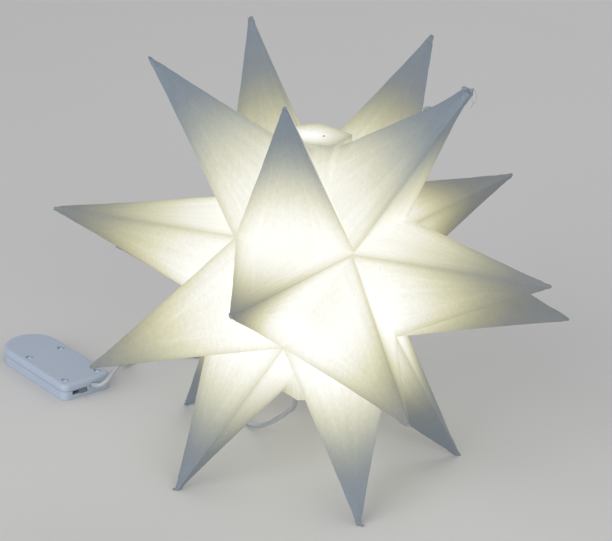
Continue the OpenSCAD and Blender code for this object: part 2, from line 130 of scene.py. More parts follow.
printLook = {
    "tipColour": (0.142, 0.153, 0.156, 1),   # painted shade: the white plastic darkened where little of the inner light reaches
    "coolColour": (0.135, 0.168, 0.21, 1),   # painted shade on the cap and the feet, darker and bluer under a painted cool room light
    # painted shade: the white plastic darkened to the dim room's level, under the glow
    "coreColour": (0.17, 0.17, 0.165, 1),
    "coreShare": 1.8,
    "glow": [                                # light level -> light that comes through the wall
        (0.0, (0.05, 0.054, 0.056)),
        (0.12, (0.088, 0.083, 0.06)),
        (0.3, (0.205, 0.19, 0.092)),
        (0.5, (0.385, 0.366, 0.19)),
        (0.66, (0.55, 0.53, 0.345)),
        (0.8, (0.695, 0.68, 0.58)),
        (1.0, (0.88, 0.88, 0.85)),
    ],
    "coolGlow": [                            # the same on the cap and the feet, tinted by a painted cool room light
        (0.0, (0.046, 0.057, 0.072)),
        (0.12, (0.076, 0.084, 0.085)),
        (0.3, (0.188, 0.198, 0.158)),
        (0.5, (0.37, 0.372, 0.286)),
        (0.66, (0.54, 0.53, 0.415)),
        (0.8, (0.695, 0.685, 0.59)),
        (1.0, (0.88, 0.88, 0.85)),
    ],
    "ridgeShade": 0.28,                      # ridges are thicker, so less comes through
    "ridgeWidth": 2.4,                       # mm
    "wallLine": 7.2,                         # mm from a ridge to the painted light line at the inner wall's own corner
    "lineSharp": 1.7,                        # per mm, the higher the thinner that corner's line
    "lineLight": 0.035,                      # and how much lighter that painted light line is
    "layer": 0.75,                           # mm between printed layers that still show
    "layerDepth": 0.05,
    "layerShade": 0.018,
    "streaks": 0.15,
    "runs": 26.0,                            # streaks that fan out from a tip
    "runDepth": 0.13,
    "cloudShade": 0.06,
    "frost": (0.88, 1.12),                   # least and most of the plastic's colour along the streaks
    "coolAbove": (0.09, 22.0),               # m up to where the painted cool room light on the cap starts, and its rise per m
    "coolBelow": (0.075, 25.0, 0.75),        # the same for the feet, and how much of that painted cool light they get
    "warmBehind": (-0.015, 20.0),            # m back to where the light stays warm, and its rise per m
}


def printedPlastic(name):  # translucent white print, lit from inside: the light through the wall is painted glow, and the white is darkened as painted shade
    material, shader, wire = newMaterial(name)
    level = wire.add("ShaderNodeAttribute", {"attribute_name": "glow"}, out="Fac")
    ridge = wire.add("ShaderNodeAttribute", {"attribute_name": "ridge"}, out="Fac")
    fan = wire.add("ShaderNodeAttribute", {"attribute_name": "fan"}, out="Vector")
    place = wire.add("ShaderNodeTexCoord", out="Object")
    height = wire.add("ShaderNodeSeparateXYZ", None, {0: place}, out="Z")
    away = wire.add("ShaderNodeSeparateXYZ", None, {0: place}, out="Y")
    wander = grain(wire, 260.0)
    layers = wire.math("SINE", height * (2 * math.pi / (printLook["layer"] * mm)) + wander * 3.0)
    upright = grain(wire, 1000.0, 2.0, (1, 1, 0.05))   # fine streaks up the walls
    runs = wire.add("ShaderNodeTexNoise", None, {"Vector": fan, "Scale": printLook["runs"], "Detail": 3.0})
    cloudy = grain(wire, 60.0, 3.0)
    shade = 1.0 - wire.math("EXPONENT", ridge * (-1 / printLook["ridgeWidth"])) * printLook["ridgeShade"]
    # painted light: a lighter line where the inner wall's corner lets more light through
    offLine = (ridge - printLook["wallLine"]) * printLook["lineSharp"]
    wallLine = wire.math("EXPONENT", offLine * offLine * -1.0) * printLook["lineLight"]
    texture = (upright - 0.5) * printLook["streaks"] + (runs - 0.5) * printLook["runDepth"]
    texture = texture + layers * printLook["layerShade"] + (cloudy - 0.5) * printLook["cloudShade"]
    shown = (level * shade * (texture + wallLine + 1.0)).clamp()
    # painted light: a cool room light on the cap, the feet and the front, in both the base colour and the
    # glow
    start, rise = printLook["coolAbove"]
    coolRoomLight = ((height - start) * rise).clamp()
    start, rise, most = printLook["coolBelow"]
    coolRoomLight = coolRoomLight + ((start - height) * rise).clamp() * most
    start, rise = printLook["warmBehind"]
    front = 1.0 - ((away - start) * rise).clamp()
    warm = wire.add("ShaderNodeValToRGB", {"stops": printLook["glow"]}, {"Fac": shown}, out="Color")
    cool = wire.add("ShaderNodeValToRGB", {"stops": printLook["coolGlow"]}, {"Fac": shown}, out="Color")
    # painted shade: the darkened white, which turns to the core's as the glow rises
    shadedOuter = mixColour(wire, coolRoomLight, printLook["tipColour"], printLook["coolColour"])
    body = mixColour(wire, (shown * printLook["coreShare"]).clamp(), shadedOuter, printLook["coreColour"])
    frost = mixColour(wire, upright * 0.5 + runs * 0.5, *[(c, c, c, 1) for c in printLook["frost"]])
    feed(
        shader,
        BaseColor=wire.add("ShaderNodeMix", {"data_type": "RGBA", "blend_type": "MULTIPLY"},
                           {0: 1.0, 6: body, 7: frost}, out=2),
        Roughness=0.62 - upright * 0.18,
        EmissionColor=mixColour(wire, coolRoomLight * front, warm, cool),
        EmissionStrength=1.0,
        Normal=bump(wire, layers * 0.4 + upright + cloudy, printLook["layerDepth"] * mm),
    )
    return material


mouldLook = {
    "line": 0.13,                          # mm, half the width of a parting line
    "lineColour": (0.12, 0.13, 0.16, 1),
    "lineShade": 0.6,
    "depth": 0.12,                         # mm
}
moulded = {  # colour, colour of the flow marks, roughness, and mm up to the parting line, -1 for none
    "scorched_print": ((0.3, 0.27, 0.2, 1), (0.2, 0.17, 0.12, 1), 0.6, -1.0),
    # painted shade: the white case darkened and blued as in a dim, bluish room
    "case_plastic": ((0.42, 0.49, 0.6, 1), (0.37, 0.44, 0.56, 1), 0.36, 4.0),
    "pin_plastic": ((0.66, 0.7, 0.78, 1), (0.55, 0.6, 0.7, 1), 0.22, -1.0),
    "knob_plastic": ((0.2, 0.22, 0.25, 1), (0.15, 0.165, 0.19, 1), 0.45, -1.0),
}


def mouldedPlastic(name):  # satin moulding with faint flow marks and a parting line
    material, shader, wire = newMaterial(name)
    colour, shade, rough, parting = moulded[name]
    flow = grain(wire, 55.0, 4.0)
    pores = grain(wire, 2600.0)
    place = wire.add("ShaderNodeTexCoord", out="Object")
    height = wire.add("ShaderNodeSeparateXYZ", None, {0: place}, out="Z")
    offLine = (height - parting * mm) * (1 / (mouldLook["line"] * mm))
    line = wire.math("EXPONENT", offLine * offLine * -1.0)
    body = mixColour(wire, flow, shade, colour)
    feed(
        shader,
        BaseColor=mixColour(wire, line * mouldLook["lineShade"], body, mouldLook["lineColour"]),
        Roughness=rough + (pores - 0.5) * 0.2,
        Normal=bump(wire, pores * 0.1 - line, mouldLook["depth"] * mm),
    )
    return material


skinLook = {
    "dark": (0.3, 0.33, 0.355, 1),
    "light": (0.5, 0.545, 0.58, 1),
    "twist": 46.0,                  # mm along the lead from one strand to the next
    "depth": 0.05,                  # mm
}


def leadSkin(name):  # clear soft skin over two twisted strands
    material, shader, wire = newMaterial(name)
    around = wire.add("ShaderNodeAttribute", {"attribute_name": "around"}, out="Fac")
    along = wire.add("ShaderNodeAttribute", {"attribute_name": "along"}, out="Fac")
    strand = wire.math("SINE", around * 2.0 + along * (2 * math.pi / skinLook["twist"])) * 0.5 + 0.5
    haze = grain(wire, 420.0, 3.0)
    mask = (strand * 0.6 + haze * 0.4).clamp()
    feed(
        shader,
        BaseColor=mixColour(wire, mask, skinLook["dark"], skinLook["light"]),
        Roughness=0.22 + haze * 0.2,
        CoatWeight=0.5,
        CoatRoughness=0.12,
        Normal=bump(wire, strand, skinLook["depth"] * mm),
    )
    return material


metals = {  # colour, duller colour, roughness, and how the scratches are squeezed
    "silver_wire": ((0.78, 0.76, 0.72, 1), (0.5, 0.48, 0.45, 1), 0.2, (1, 1, 1)),
    "cell_steel": ((0.72, 0.72, 0.73, 1), (0.5, 0.5, 0.52, 1), 0.22, (1, 6, 1)),
    "contact_strip": ((0.82, 0.73, 0.5, 1), (0.6, 0.5, 0.3, 1), 0.25, (1, 8, 1)),
}


def brightMetal(name):  # rolled or drawn metal with fine scratches
    material, shader, wire = newMaterial(name)
    colour, dull, rough, squeeze = metals[name]
    scratches = grain(wire, 700.0, 4.0, squeeze)
    feed(
        shader,
        BaseColor=mixColour(wire, scratches, dull, colour),
        Metallic=1.0,
        Roughness=rough + scratches * 0.25,
        Normal=bump(wire, scratches, 0.01 * mm),
    )
    return material


resinLook = {
    "colour": ((0.75, 0.62, 0.36, 1), (0.95, 0.86, 0.62, 1)),
    "light": ((0.9, 0.7, 0.35, 1), (1.0, 0.93, 0.72, 1)),
}


def litResin(name):  # clear drop round a lit chip
    material, shader, wire = newMaterial(name)
    cloudy = grain(wire, 900.0)
    feed(
        shader,
        BaseColor=mixColour(wire, cloudy, *resinLook["colour"]),
        Roughness=0.12 + cloudy * 0.15,
        CoatWeight=0.6,
        EmissionColor=mixColour(wire, cloudy, *resinLook["light"]),
        EmissionStrength=1.0,
    )
    return material


sleeveLook = {
    "colour": ((0.05, 0.05, 0.055, 1), (0.11, 0.11, 0.12, 1)),
    "depth": 0.08,   # mm, of its wrinkles
}


def shrunkSleeve(name):
    material, shader, wire = newMaterial(name)
    wrinkles = grain(wire, 500.0, 3.0, (1, 1, 4))
    feed(
        shader,
        BaseColor=mixColour(wire, wrinkles, *sleeveLook["colour"]),
        Roughness=0.45 + wrinkles * 0.25,
        Normal=bump(wire, wrinkles, sleeveLook["depth"] * mm),
    )
    return material


starPrint = printedPlastic("star_print")
scorched = mouldedPlastic("scorched_print")
shadedCasePlastic = mouldedPlastic("case_plastic")
pinPlastic = mouldedPlastic("pin_plastic")
knobPlastic = mouldedPlastic("knob_plastic")
leadFinish = leadSkin("lead_skin")
wireFinish = brightMetal("silver_wire")
cellSteel = brightMetal("cell_steel")
stripMetal = brightMetal("contact_strip")
dropResin = litResin("clear_drop")
sleeveFinish = shrunkSleeve("shrink_sleeve")
print("finishes made")


def newPiece(name, bm, material, body, smooth=False):
    mesh = bpy.data.meshes.new(name)
    bm.to_mesh(mesh)
    bm.free()
    mesh.materials.append(material)
    mesh.polygons.foreach_set("use_smooth", [smooth] * len(mesh.polygons))
    piece = bpy.data.objects.new(name, mesh)
    bpy.context.scene.collection.objects.link(piece)
    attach(piece, body)
    return piece


def setAttribute(piece, name, values):
    made = piece.data.attributes.new(name, "FLOAT", "POINT")
    made.data.foreach_set("value", np.asarray(values, np.float32))


def smoothPath(points, steps):  # the same smooth curve as the solids' tubes
    p = [np.array(q, float) for q in points]
    p = [2 * p[0] - p[1]] + p + [2 * p[-1] - p[-2]]
    path = []
    for a, b, c, d in zip(p, p[1:], p[2:], p[3:]):
        for t in np.arange(steps) / steps:
            path.append(0.5 * (2 * b + (c - a) * t + (2 * a - 5 * b + 4 * c - d) * t ** 2
                               + (3 * b - a - 3 * c + d) * t ** 3))
    return path + [p[-2]]


def addTube(bm, path, radius, sides):  # closed tube; returns how far along and around its corners are
    path = [Vector(q) for q in path]
    last = len(path) - 1
    side = Vector((0, 0, 1)).cross(path[1] - path[0])
    if side.length < 1e-6:
        side = Vector((1, 0, 0))
    rings = []
    marks = []
    run = 0.0
    for i, q in enumerate(path):
        heading = (path[min(i + 1, last)] - path[max(i - 1, 0)]).normalized()
        side = (side - heading * side.dot(heading)).normalized()
        across = heading.cross(side)
        run += (q - path[max(i - 1, 0)]).length / mm
        ring = []
        for k in range(sides):
            a = 2 * math.pi * k / sides
            ring.append(bm.verts.new(q + (side * math.cos(a) + across * math.sin(a)) * radius))
            marks.append((run, a))
        rings.append(ring)
    for low, high in zip(rings, rings[1:]):
        for k in range(sides):
            bm.faces.new((low[k], low[(k + 1) % sides], high[(k + 1) % sides], high[k]))
    bm.faces.new(rings[0][::-1])
    bm.faces.new(rings[-1])
    return marks


star = {
    "tipRadius": 105.0,       # mm, centre to tip
    "height": 82.757,         # mm, centre above the floor
    "capTwist": 6.4,          # degrees
    "capShift": (-3.6, 0.6),  # mm
    "front": 270.0,           # degrees, where one upper point looks
    "edge": 0.35,             # mm, softened ridges
    "facet": 5.0,             # mm, facets fine enough to carry the glow
    "tipFacet": 1.0,          # mm, finer at the tips
    "facetGrowth": 0.4,       # mm for each mm away from a tip
    "passes": 6,
    "ragged": 0.16,           # mm, unevenness of the print
    "raggedGrain": 2.2,       # mm from one rise to the next
    "tipRagged": 3.0,         # times as uneven at the tips
    "tipFade": 5.0,           # mm over which that fades
    "nearRidge": (0.6, 0.3),  # mm that the ends and the middle of a ridge's edges may be off its line
    "bunches": [              # mm from the centre, where the lights lie thickest
        (-5.1, -7.2, 14.3),
        (5.8, -28.3, -1.4),
        (-12.5, -6.6, -6.6),
    ],
    "upShare": 1.2,           # less of the light goes up and down
    "reachShare": 0.99,
    "lampSoft": 60.0,         # mm squared, so that a wall close to a light isn't too bright
    "lampShare": 0.2,         # how much the single lights show
    "brighter": {"top2": 0.2, "foot1": 0.16},   # points with a share more light
    "innerGlow": 0.62,        # least light on the inner walls, which the lights shine on directly
    "innerFrom": 15.0,        # mm from a tip to where such walls start
    "crownTop": 52.64,        # mm above the centre, as in the solid
    "crownLift": 0.9,         # mm that the printed crown swells up
    "crownSpread": 1.06,      # and how much wider it is
    "crownRadius": 15.4,
    "crownSpot": (-5.2, -1.0),     # mm, where it is brightest
    "crownLight": (1.04, 0.46),    # light there, and how much less a crown's radius away
}
coreRadius = star["tipRadius"] * math.sqrt((5 - 2 * math.sqrt(5)) / 3)
faceHeight = coreRadius / math.sqrt(5)
highTip = star["tipRadius"] * math.sqrt((5 + 2 * math.sqrt(5)) / 15)
starHeight = star["height"]


def polar(radius, angle, height):
    a = math.radians(angle)
    return np.array((radius * math.cos(a), radius * math.sin(a), height))


def spikes():  # every point of the star: its ring, name, tip and the three valleys round its foot
    valleyRadius = 2 * faceHeight
    outHigh = math.sqrt(star["tipRadius"] ** 2 - highTip ** 2)
    outLow = math.sqrt(star["tipRadius"] ** 2 - faceHeight ** 2)
    upper = [polar(valleyRadius, star["front"] + 36 + 72 * k, faceHeight) for k in range(5)]
    lower = [polar(valleyRadius, star["front"] + 72 * k, -faceHeight) for k in range(5)]
    top = np.array((0, 0, coreRadius))
    made = []
    for k in range(5):
        at = star["front"] + 72 * k
        after = lower[(k + 1) % 5]
        for ring, tip, valleys in (
            ("top", polar(outHigh, at, highTip), (top, upper[k - 1], upper[k])),
            ("upper", polar(outLow, at, faceHeight), (upper[k - 1], upper[k], lower[k])),
            ("lower", polar(outLow, at + 36, -faceHeight), (lower[k], after, upper[k])),
            ("foot", polar(outHigh, at + 36, -highTip), (lower[k], after, -top)),
        ):
            made.append((ring, "%s%d" % (ring, k), tip, valleys))
    return made


def evenPlace(point):  # the body's points stand where the even star has them
    return np.array(point, float)


def capPlace(point):  # where the turned and shifted cap puts a point of the even star
    a = math.radians(star["capTwist"])
    x = point[0] * math.cos(a) - point[1] * math.sin(a) + star["capShift"][0]
    y = point[0] * math.sin(a) + point[1] * math.cos(a) + star["capShift"][1]
    return np.array((x, y, point[2]))


def ridgeLines(rings, place):  # ends of the ridges on these rings, in mm from the star's centre
    mine = [(tip, valleys) for ring, point, tip, valleys in spikes() if ring in rings]
    return [(place(tip), place(valley)) for tip, valleys in mine for valley in valleys]


def nearest(points, lines):  # distance of every point from the nearest of these lines
    best = np.full(len(points), 1e9)
    for a, b in lines:
        along = np.clip((points - a) @ (b - a) / ((b - a) @ (b - a)), 0, 1)
        best = np.minimum(best, np.linalg.norm(points - a - along[:, None] * (b - a), axis=1))
    return best


def cornersOf(vertices):  # in mm from the star's centre
    return np.array([v.co for v in vertices], float) / mm - (0, 0, starHeight)


def middlesOf(edges):
    return np.array([(e.verts[0].co + e.verts[1].co) / 2 for e in edges], float) / mm - (0, 0, starHeight)


def inMetres(point):  # and back, from the floor up
    return Vector(point + (0, 0, starHeight)) * mm


drops = ["led_%d" % k for k in range(1, 11)]
lightPlaces = [np.array(sum(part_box(drop), Vector())) / 2 / mm - (0, 0, starHeight) for drop in drops]
# mm from the thickest lights -> light level
glowByReach = ([34, 40, 45, 50, 57, 64, 72, 80, 88, 96, 105, 118],
               [1.0, 0.95, 0.89, 0.81, 0.69, 0.56, 0.4, 0.26, 0.14, 0.06, 0.02, 0.0])


def onCrown(points, depth, lift=star["crownLift"]):  # whether points lie on the crown's flat top
    off = np.hypot(*(points[:, :2] - star["capShift"]).T)
    return (off < star["crownRadius"]) & (abs(points[:, 2] - star["crownTop"] - lift) < depth)


def glowAt(points):  # how much of the inner light gets through the wall
    away = [np.linalg.norm((points - np.array(q)) * (1, 1, star["upShare"]), axis=1) for q in star["bunches"]]
    reach = np.mean([a ** -6.0 for a in away], axis=0) ** (-1 / 6)   # the nearest bunch counts most
    reach = reach * star["reachShare"]
    far = np.linalg.norm(points, axis=1)
    out = np.maximum(far, reach) * 0.6 + reach * 0.4   # keeps the core as bright as the walls round it
    lamps = [out ** 2 / (np.sum((points - at) ** 2, axis=1) + star["lampSoft"]) for at in lightPlaces]
    level = np.interp(reach, *glowByReach) * (sum(lamps) / len(lamps)) ** star["lampShare"]
    for ring, point, tip, valleys in spikes():
        towards = points @ tip / (far * np.linalg.norm(tip))
        level *= 1 + star["brighter"].get(point, 0) * np.clip(towards * 5 - 4, 0, 1)   # fades to the valleys
    most, fall = star["crownLight"]
    crown = most - fall * np.linalg.norm(points[:, :2] - star["crownSpot"], axis=1) / star["crownRadius"]
    return np.clip(np.where(onCrown(points, 0.6), crown, level), 0, 1)


def swellCrown(bm):  # the print's crown is higher and wider than the solid's
    corners = cornersOf(bm.verts)
    middle = np.array((*star["capShift"], star["crownTop"]))
    for v, corner, top in zip(bm.verts, corners, onCrown(corners, 0.3, 0.0)):
        if top:
            wider = middle + (corner - middle) * star["crownSpread"]
            v.co = Vector(wider + (0, 0, starHeight + star["crownLift"])) * mm


def crownRim(bm):  # edges of the flat crown, which only the cap has
    corners = cornersOf(bm.verts)
    rim = list(corners[onCrown(corners, 0.3)])
    if not rim:
        return []
    middle = np.mean(rim, axis=0)
    rim.sort(key=lambda q: math.atan2(q[1] - middle[1], q[0] - middle[0]))
    return list(zip(rim, rim[1:] + rim[:1]))


# how the nozzle left each point: mm wider at the end, mm along the point until that fades, and mm further out
blunt = {
    "each": (0.42, 45.0, 1.1),
    "top1": (2.2, 20.0, 0.2),
    "top3": (0.55, 45.0, 1.5),
    "upper4": (0.5, 45.0, 1.5),
    "foot0": (0.5, 30.0, 0.5),
    "foot4": (0.8, 30.0, 0.5),
}


def tipPlaces(place):
    return np.array([place(tip) for ring, point, tip, valleys in spikes()])


def tipGap(points, place):  # distance of every point from the nearest tip
    return np.min([np.linalg.norm(points - tip, axis=1) for tip in tipPlaces(place)], axis=0)


def bluntTips(bm, place):  # spreads and lengthens the ends of the points
    middle = place(np.zeros(3))
    corners = cornersOf(bm.verts) - middle
    aims = (tipPlaces(place) - middle) / star["tipRadius"]
    owner = np.argmax(corners @ aims.T, axis=1)
    for i, (ring, point, tip, valleys) in enumerate(spikes()):
        wider, fade, further = blunt.get(point, blunt["each"])
        mine = owner == i
        along = corners[mine] @ aims[i]
        off = corners[mine] - along[:, None] * aims[i]
        off /= np.maximum(np.linalg.norm(off, axis=1), 0.01)[:, None]
        share = np.clip(1 - (star["tipRadius"] - along) / fade, 0, 1)[:, None]
        corners[mine] += off * wider * share ** 2 + aims[i] * further * share ** 2
    for v, corner in zip(bm.verts, corners + middle):
        v.co = inMetres(corner)


def softenShell(bm, lines, place):  # softens the ridges, makes fine facets and leaves them slightly uneven
    endOff, middleOff = star["nearRidge"]
    endOn = nearest(cornersOf(bm.verts), lines) < endOff
    middleOn = nearest(middlesOf(bm.edges), lines) < middleOff
    bm.verts.index_update()
    ridges = [e for e, on in zip(bm.edges, middleOn) if on and all(endOn[v.index] for v in e.verts)]
    bmesh.ops.bevel(bm, geom=ridges, offset=star["edge"] * mm, segments=2, profile=0.5, affect="EDGES",
                    clamp_overlap=False)
    bmesh.ops.triangulate(bm, faces=bm.faces)
    for again in range(star["passes"]):
        limits = tipGap(middlesOf(bm.edges), place) * star["facetGrowth"]
        limits = np.clip(limits, star["tipFacet"], star["facet"]) * mm
        tooLong = [e for e, limit in zip(bm.edges, limits) if e.calc_length() > limit]
        bmesh.ops.subdivide_edges(bm, edges=tooLong, cuts=1)
        bmesh.ops.triangulate(bm, faces=[f for f in bm.faces if len(f.verts) > 3])
    bluntTips(bm, place)
    atTip = np.exp(tipGap(cornersOf(bm.verts), place) / -star["tipFade"])
    for v, amount in zip(bm.verts, star["ragged"] * (1 + star["tipRagged"] * atTip) * mm):
        v.co += noise.noise_vector(v.co / (star["raggedGrain"] * mm)) * amount
        v.co.z = max(v.co.z, 0.0)


def setFan(piece, corners, place):  # direction from the tip of the point that a facet belongs to
    middle = place(np.zeros(3))
    tips = tipPlaces(place)
    facets = np.array([list(p.vertices) for p in piece.data.polygons])
    owner = np.argmax((corners[facets].mean(axis=1) - middle) @ (tips - middle).T, axis=1)
    ray = corners[facets] - tips[owner][:, None]
    ray /= np.linalg.norm(ray, axis=2, keepdims=True)
    fan = piece.data.attributes.new("fan", "FLOAT_VECTOR", "CORNER")
    fan.data.foreach_set("vector", (ray + owner[:, None, None]).astype(np.float32).ravel())


def makeShell(node, name, body, rings, place):
    bm = bmesh.new()
    bm.from_mesh(nodes[node].data)
    bmesh.ops.remove_doubles(bm, verts=bm.verts, dist=0.001 * mm)
    bmesh.ops.dissolve_limit(bm, angle_limit=math.radians(1), verts=bm.verts, edges=bm.edges)
    swellCrown(bm)
    lines = ridgeLines(rings, place) + crownRim(bm)
    softenShell(bm, lines, place)
    piece = newPiece(name, bm, starPrint, body)
    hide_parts(node)
    corners = cornersOf(piece.data.vertices)
    normals = np.array([v.normal for v in piece.data.vertices], float)
    inner = np.sum(normals * (corners - place(np.zeros(3))), axis=1) < 0   # walls that look at the centre
    inner &= tipGap(corners, place) > star["innerFrom"]
    level = glowAt(corners)
    setAttribute(piece, "glow", np.where(inner, np.maximum(level, star["innerGlow"]), level))
    setAttribute(piece, "ridge", nearest(corners, lines))
    setFan(piece, corners, place)
    print(name, len(piece.data.polygons), "facets")


makeShell("star_body", "printed_body", "star", ("upper", "lower", "foot"), evenPlace)
makeShell("star_cap", "printed_cap", "cap", ("top",), capPlace)

melt = {
    "grain": 0.22,    # mm, fineness of the melted surface
    "ragged": 0.2,    # mm
    "lump": 0.45,     # of a bead's size, how far it is from round
    "light": 0.06,    # more light than the wall beside it
}
# beads of plastic where the nozzle left the tips: mm right, away and up from the tip, and size
tipBeads = {
    "top0": [(0.5, 0.0, -0.1, 0.5), (-0.4, 0.0, -0.5, 0.5)],
    "top1": [(-2.6, 0.0, 0.3, 0.9), (-1.6, 0.0, 0.3, 0.7), (0.8, 0.0, 0.3, 0.4), (0.0, 0.0, -0.3, 0.7),
             (-0.6, 0.0, -2.0, 0.7)],
    "top4": [(-0.2, 0.0, 0.1, 0.55), (1.9, 0.0, -1.3, 0.55)],
    "upper1": [(-0.2, 0.0, 0.0, 0.6)],
    "lower0": [(0.0, 0.0, 0.2, 0.6)],
    "foot0": [(1.0, 0.0, 1.0, 0.5), (1.7, 0.0, 1.1, 0.35)],
    "foot3": [(0.0, 0.0, 0.8, 0.6), (0.3, 0.0, 2.2, 0.6)],
    "foot4": [(-1.0, 0.0, 1.0, 0.55)],
}
ridgeBeads = [  # point, ridge, share along it, size in mm
    ("top1", 0, 0.25, 0.6), ("top1", 0, 0.265, 0.8), ("top1", 0, 0.283, 0.6),
    ("top4", 0, 0.06, 0.4),
    ("top0", 2, 0.34, 0.4), ("top0", 2, 0.53, 0.55),
]
sight = (Vector((0.953935, 0.296155, 0)), Vector((-0.296155, 0.953935, 0)), Vector((0, 0, 1)))


def inSight(right, away, up):  # as the camera's side of the star has them
    return sight[0] * right + sight[1] * away + sight[2] * up


def setLooseGlow(piece):  # beads and threads take the light of the place where they hang
    corners = cornersOf(piece.data.vertices)
    setAttribute(piece, "glow", glowAt(corners) + melt["light"])
    setAttribute(piece, "ridge", np.full(len(corners), 20.0))   # far from any ridge's shade


def addBead(bm, at, size):
    made = bmesh.ops.create_icosphere(bm, subdivisions=3, radius=size * mm, matrix=Matrix.Translation(at))
    for v in made["verts"]:
        v.co += noise.noise_vector(v.co / (1.5 * mm)) * melt["lump"] * size * mm


def melted(bm):  # runs touching beads into one lump, flat where it rests on the floor
    mesh = bpy.data.meshes.new("beads")
    bm.to_mesh(mesh)
    bm.free()
    holder = bpy.data.objects.new("beads", mesh)
    bpy.context.scene.collection.objects.link(holder)
    remesh = holder.modifiers.new("melt", "REMESH")
    remesh.mode = "VOXEL"
    remesh.voxel_size = melt["grain"] * mm
    holder.modifiers.new("soften", "SMOOTH").iterations = 3
    made = bmesh.new()
    made.from_object(holder, bpy.context.evaluated_depsgraph_get())
    bpy.data.objects.remove(holder)
    for v in made.verts:
        v.co += noise.noise_vector(v.co / (0.9 * mm)) * melt["ragged"] * mm
        v.co.z = max(v.co.z, 0.0)
    return made


def makeBeads(name, body, rings, place):
    bm = bmesh.new()
    for ring, point, tip, valleys in spikes():
        if ring not in rings:
            continue
        for right, away, up, size in tipBeads.get(point, []):
            addBead(bm, inMetres(place(tip)) + inSight(right, away, up) * mm, size)
        for bead, ridge, share, size in ridgeBeads:
            if bead == point:
                addBead(bm, inMetres(place(tip) + (place(valleys[ridge]) - place(tip)) * share), size)
    piece = newPiece(name, melted(bm), starPrint, body, smooth=True)
    setLooseGlow(piece)


makeBeads("body_beads", "star", ("upper", "lower", "foot"), evenPlace)
makeBeads("cap_beads", "cap", ("top",), capPlace)

threads = {
    "point": "top1",   # the roughest tip
    "radius": 0.06,    # mm
    "routes": [        # mm right, away and up from the tip
        [(0.0, 0, -0.8), (1.4, 0.2, -0.6), (2.2, 0.3, -2.2), (1.9, 0.3, -4.6), (0.6, 0.2, -6)],
        [(-0.8, 0, -2.4), (0.6, 0.3, -3.6), (1.1, 0.4, -5.6), (0.2, 0.3, -7.2)],
    ],
}


def makeThreads():  # loose threads of plastic
    bm = bmesh.new()
    tip = next(tip for ring, point, tip, valleys in spikes() if point == threads["point"])
    for route in threads["routes"]:
        path = smoothPath([inMetres(capPlace(tip)) + inSight(*q) * mm for q in route], 6)
        addTube(bm, path, threads["radius"] * mm, 5)
    piece = newPiece("print_threads", bm, starPrint, "cap", smooth=True)
    setLooseGlow(piece)


makeThreads()

speck = {
    "place": (0.5, 0.2),   # mm
    "size": 0.55,
    "flat": 0.3,           # of its height is left
}


def makeSpeck():  # scorched speck on the crown
    bm = bmesh.new()
    top = starHeight + star["crownTop"] + star["crownLift"]
    addBead(bm, Vector((*speck["place"], top)) * mm, speck["size"])
    for v in bm.verts:
        v.co.z = top * mm + (v.co.z - top * mm) * speck["flat"]
    newPiece("crown_speck", bm, scorched, "cap", smooth=True)


makeSpeck()
print("star made")

pins = {
    "weld": 0.02,      # mm, corners closer than this are joined
    "sliver": 0.005,   # mm, and facets thinner than this
}


def makePins():  # the case's pins, with the tiny facets of their domes joined
    bm = bmesh.new()
    bm.from_mesh(nodes["case_pins"].data)
    bmesh.ops.remove_doubles(bm, verts=bm.verts, dist=pins["weld"] * mm)
    bmesh.ops.dissolve_degenerate(bm, edges=bm.edges, dist=pins["sliver"] * mm)
    piece = newPiece("lid_pins", bm, pinPlastic, "star")
    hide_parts("case_pins")
    return piece


lidPins = makePins()

lead = {
    "diameter": 2.0,                 # mm
    "sides": 14,
    "steps": 6,                      # from one point of a route to the next
    "mouth": (-2.4, -10.7, 29.81),   # mm, where it leaves the collar
    "caseAt": (-102.8, 12.4),        # mm, middle of the case's end
    "caseTurn": 148.0,               # degrees
    "exit": (-2.1, 4.0),             # mm across the case's end, and up
    "route": [                       # mm, down from the collar and along the floor
        (-2.4, -10.7, 26.5), (-3.6, -9.6, 23), (-6.5, -6.6, 19.5), (-10, -3, 15), (-14, 1, 10.5),
        (-18.5, 4.8, 6), (-24, 8, 2.5), (-29.5, 12, 1.1), (-34, 19, 1), (-38, 30, 1), (-42, 43, 1),
        (-49, 55, 1), (-58, 62, 1), (-69, 66, 1), (-80, 64, 1),
    ],
    "besideCase": [                  # mm along the case, across it and up
        (11.4, -49, 1), (14.2, -41.8, 1), (14.6, -34.9, 1.1), (12.8, -29, 2), (9.9, -24.3, 3.7),
        (6.5, -20.2, 5.6), (1.8, -16.7, 7.8), (-2.3, -13.4, 9.7), (-4.5, -9.6, 9.4), (-5.3, -7, 7.9),
        (-5, -5.2, 6.3), (-3.6, -3.7, 4.9), (-1.6, -2.6, 4.2),
    ],
    "intoCase": (0.2, 2.4, 4.6),     # mm along the case, inside its end
}


def casePoint(x, y, z):  # from the middle of the case's end, along the case and across it
    a = math.radians(lead["caseTurn"])
    right, back = lead["caseAt"]
    return (right + x * math.cos(a) - y * math.sin(a), back + x * math.sin(a) + y * math.cos(a), z)


def makeCable(name, path, node):  # the lead along a path, in place of its solid
    bm = bmesh.new()
    marks = addTube(bm, path, lead["diameter"] / 2 * mm, lead["sides"])
    piece = newPiece(name, bm, leadFinish, "star", smooth=True)
    setAttribute(piece, "along", [along for along, around in marks])
    setAttribute(piece, "around", [around for along, around in marks])
    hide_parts(node)
    return piece


def makeLead():
    points = [lead["mouth"]] + lead["route"] + [casePoint(*q) for q in lead["besideCase"]]
    points += [casePoint(x, *lead["exit"]) for x in lead["intoCase"]]
    path = [q * mm for q in smoothPath(points, lead["steps"])]
    piece = makeCable("lead", path, "lead_cord")
    length = sum(float(np.linalg.norm(b - a)) for a, b in zip(path, path[1:]))
    print("lead of %.0f mm" % (length / mm))


makeLead()

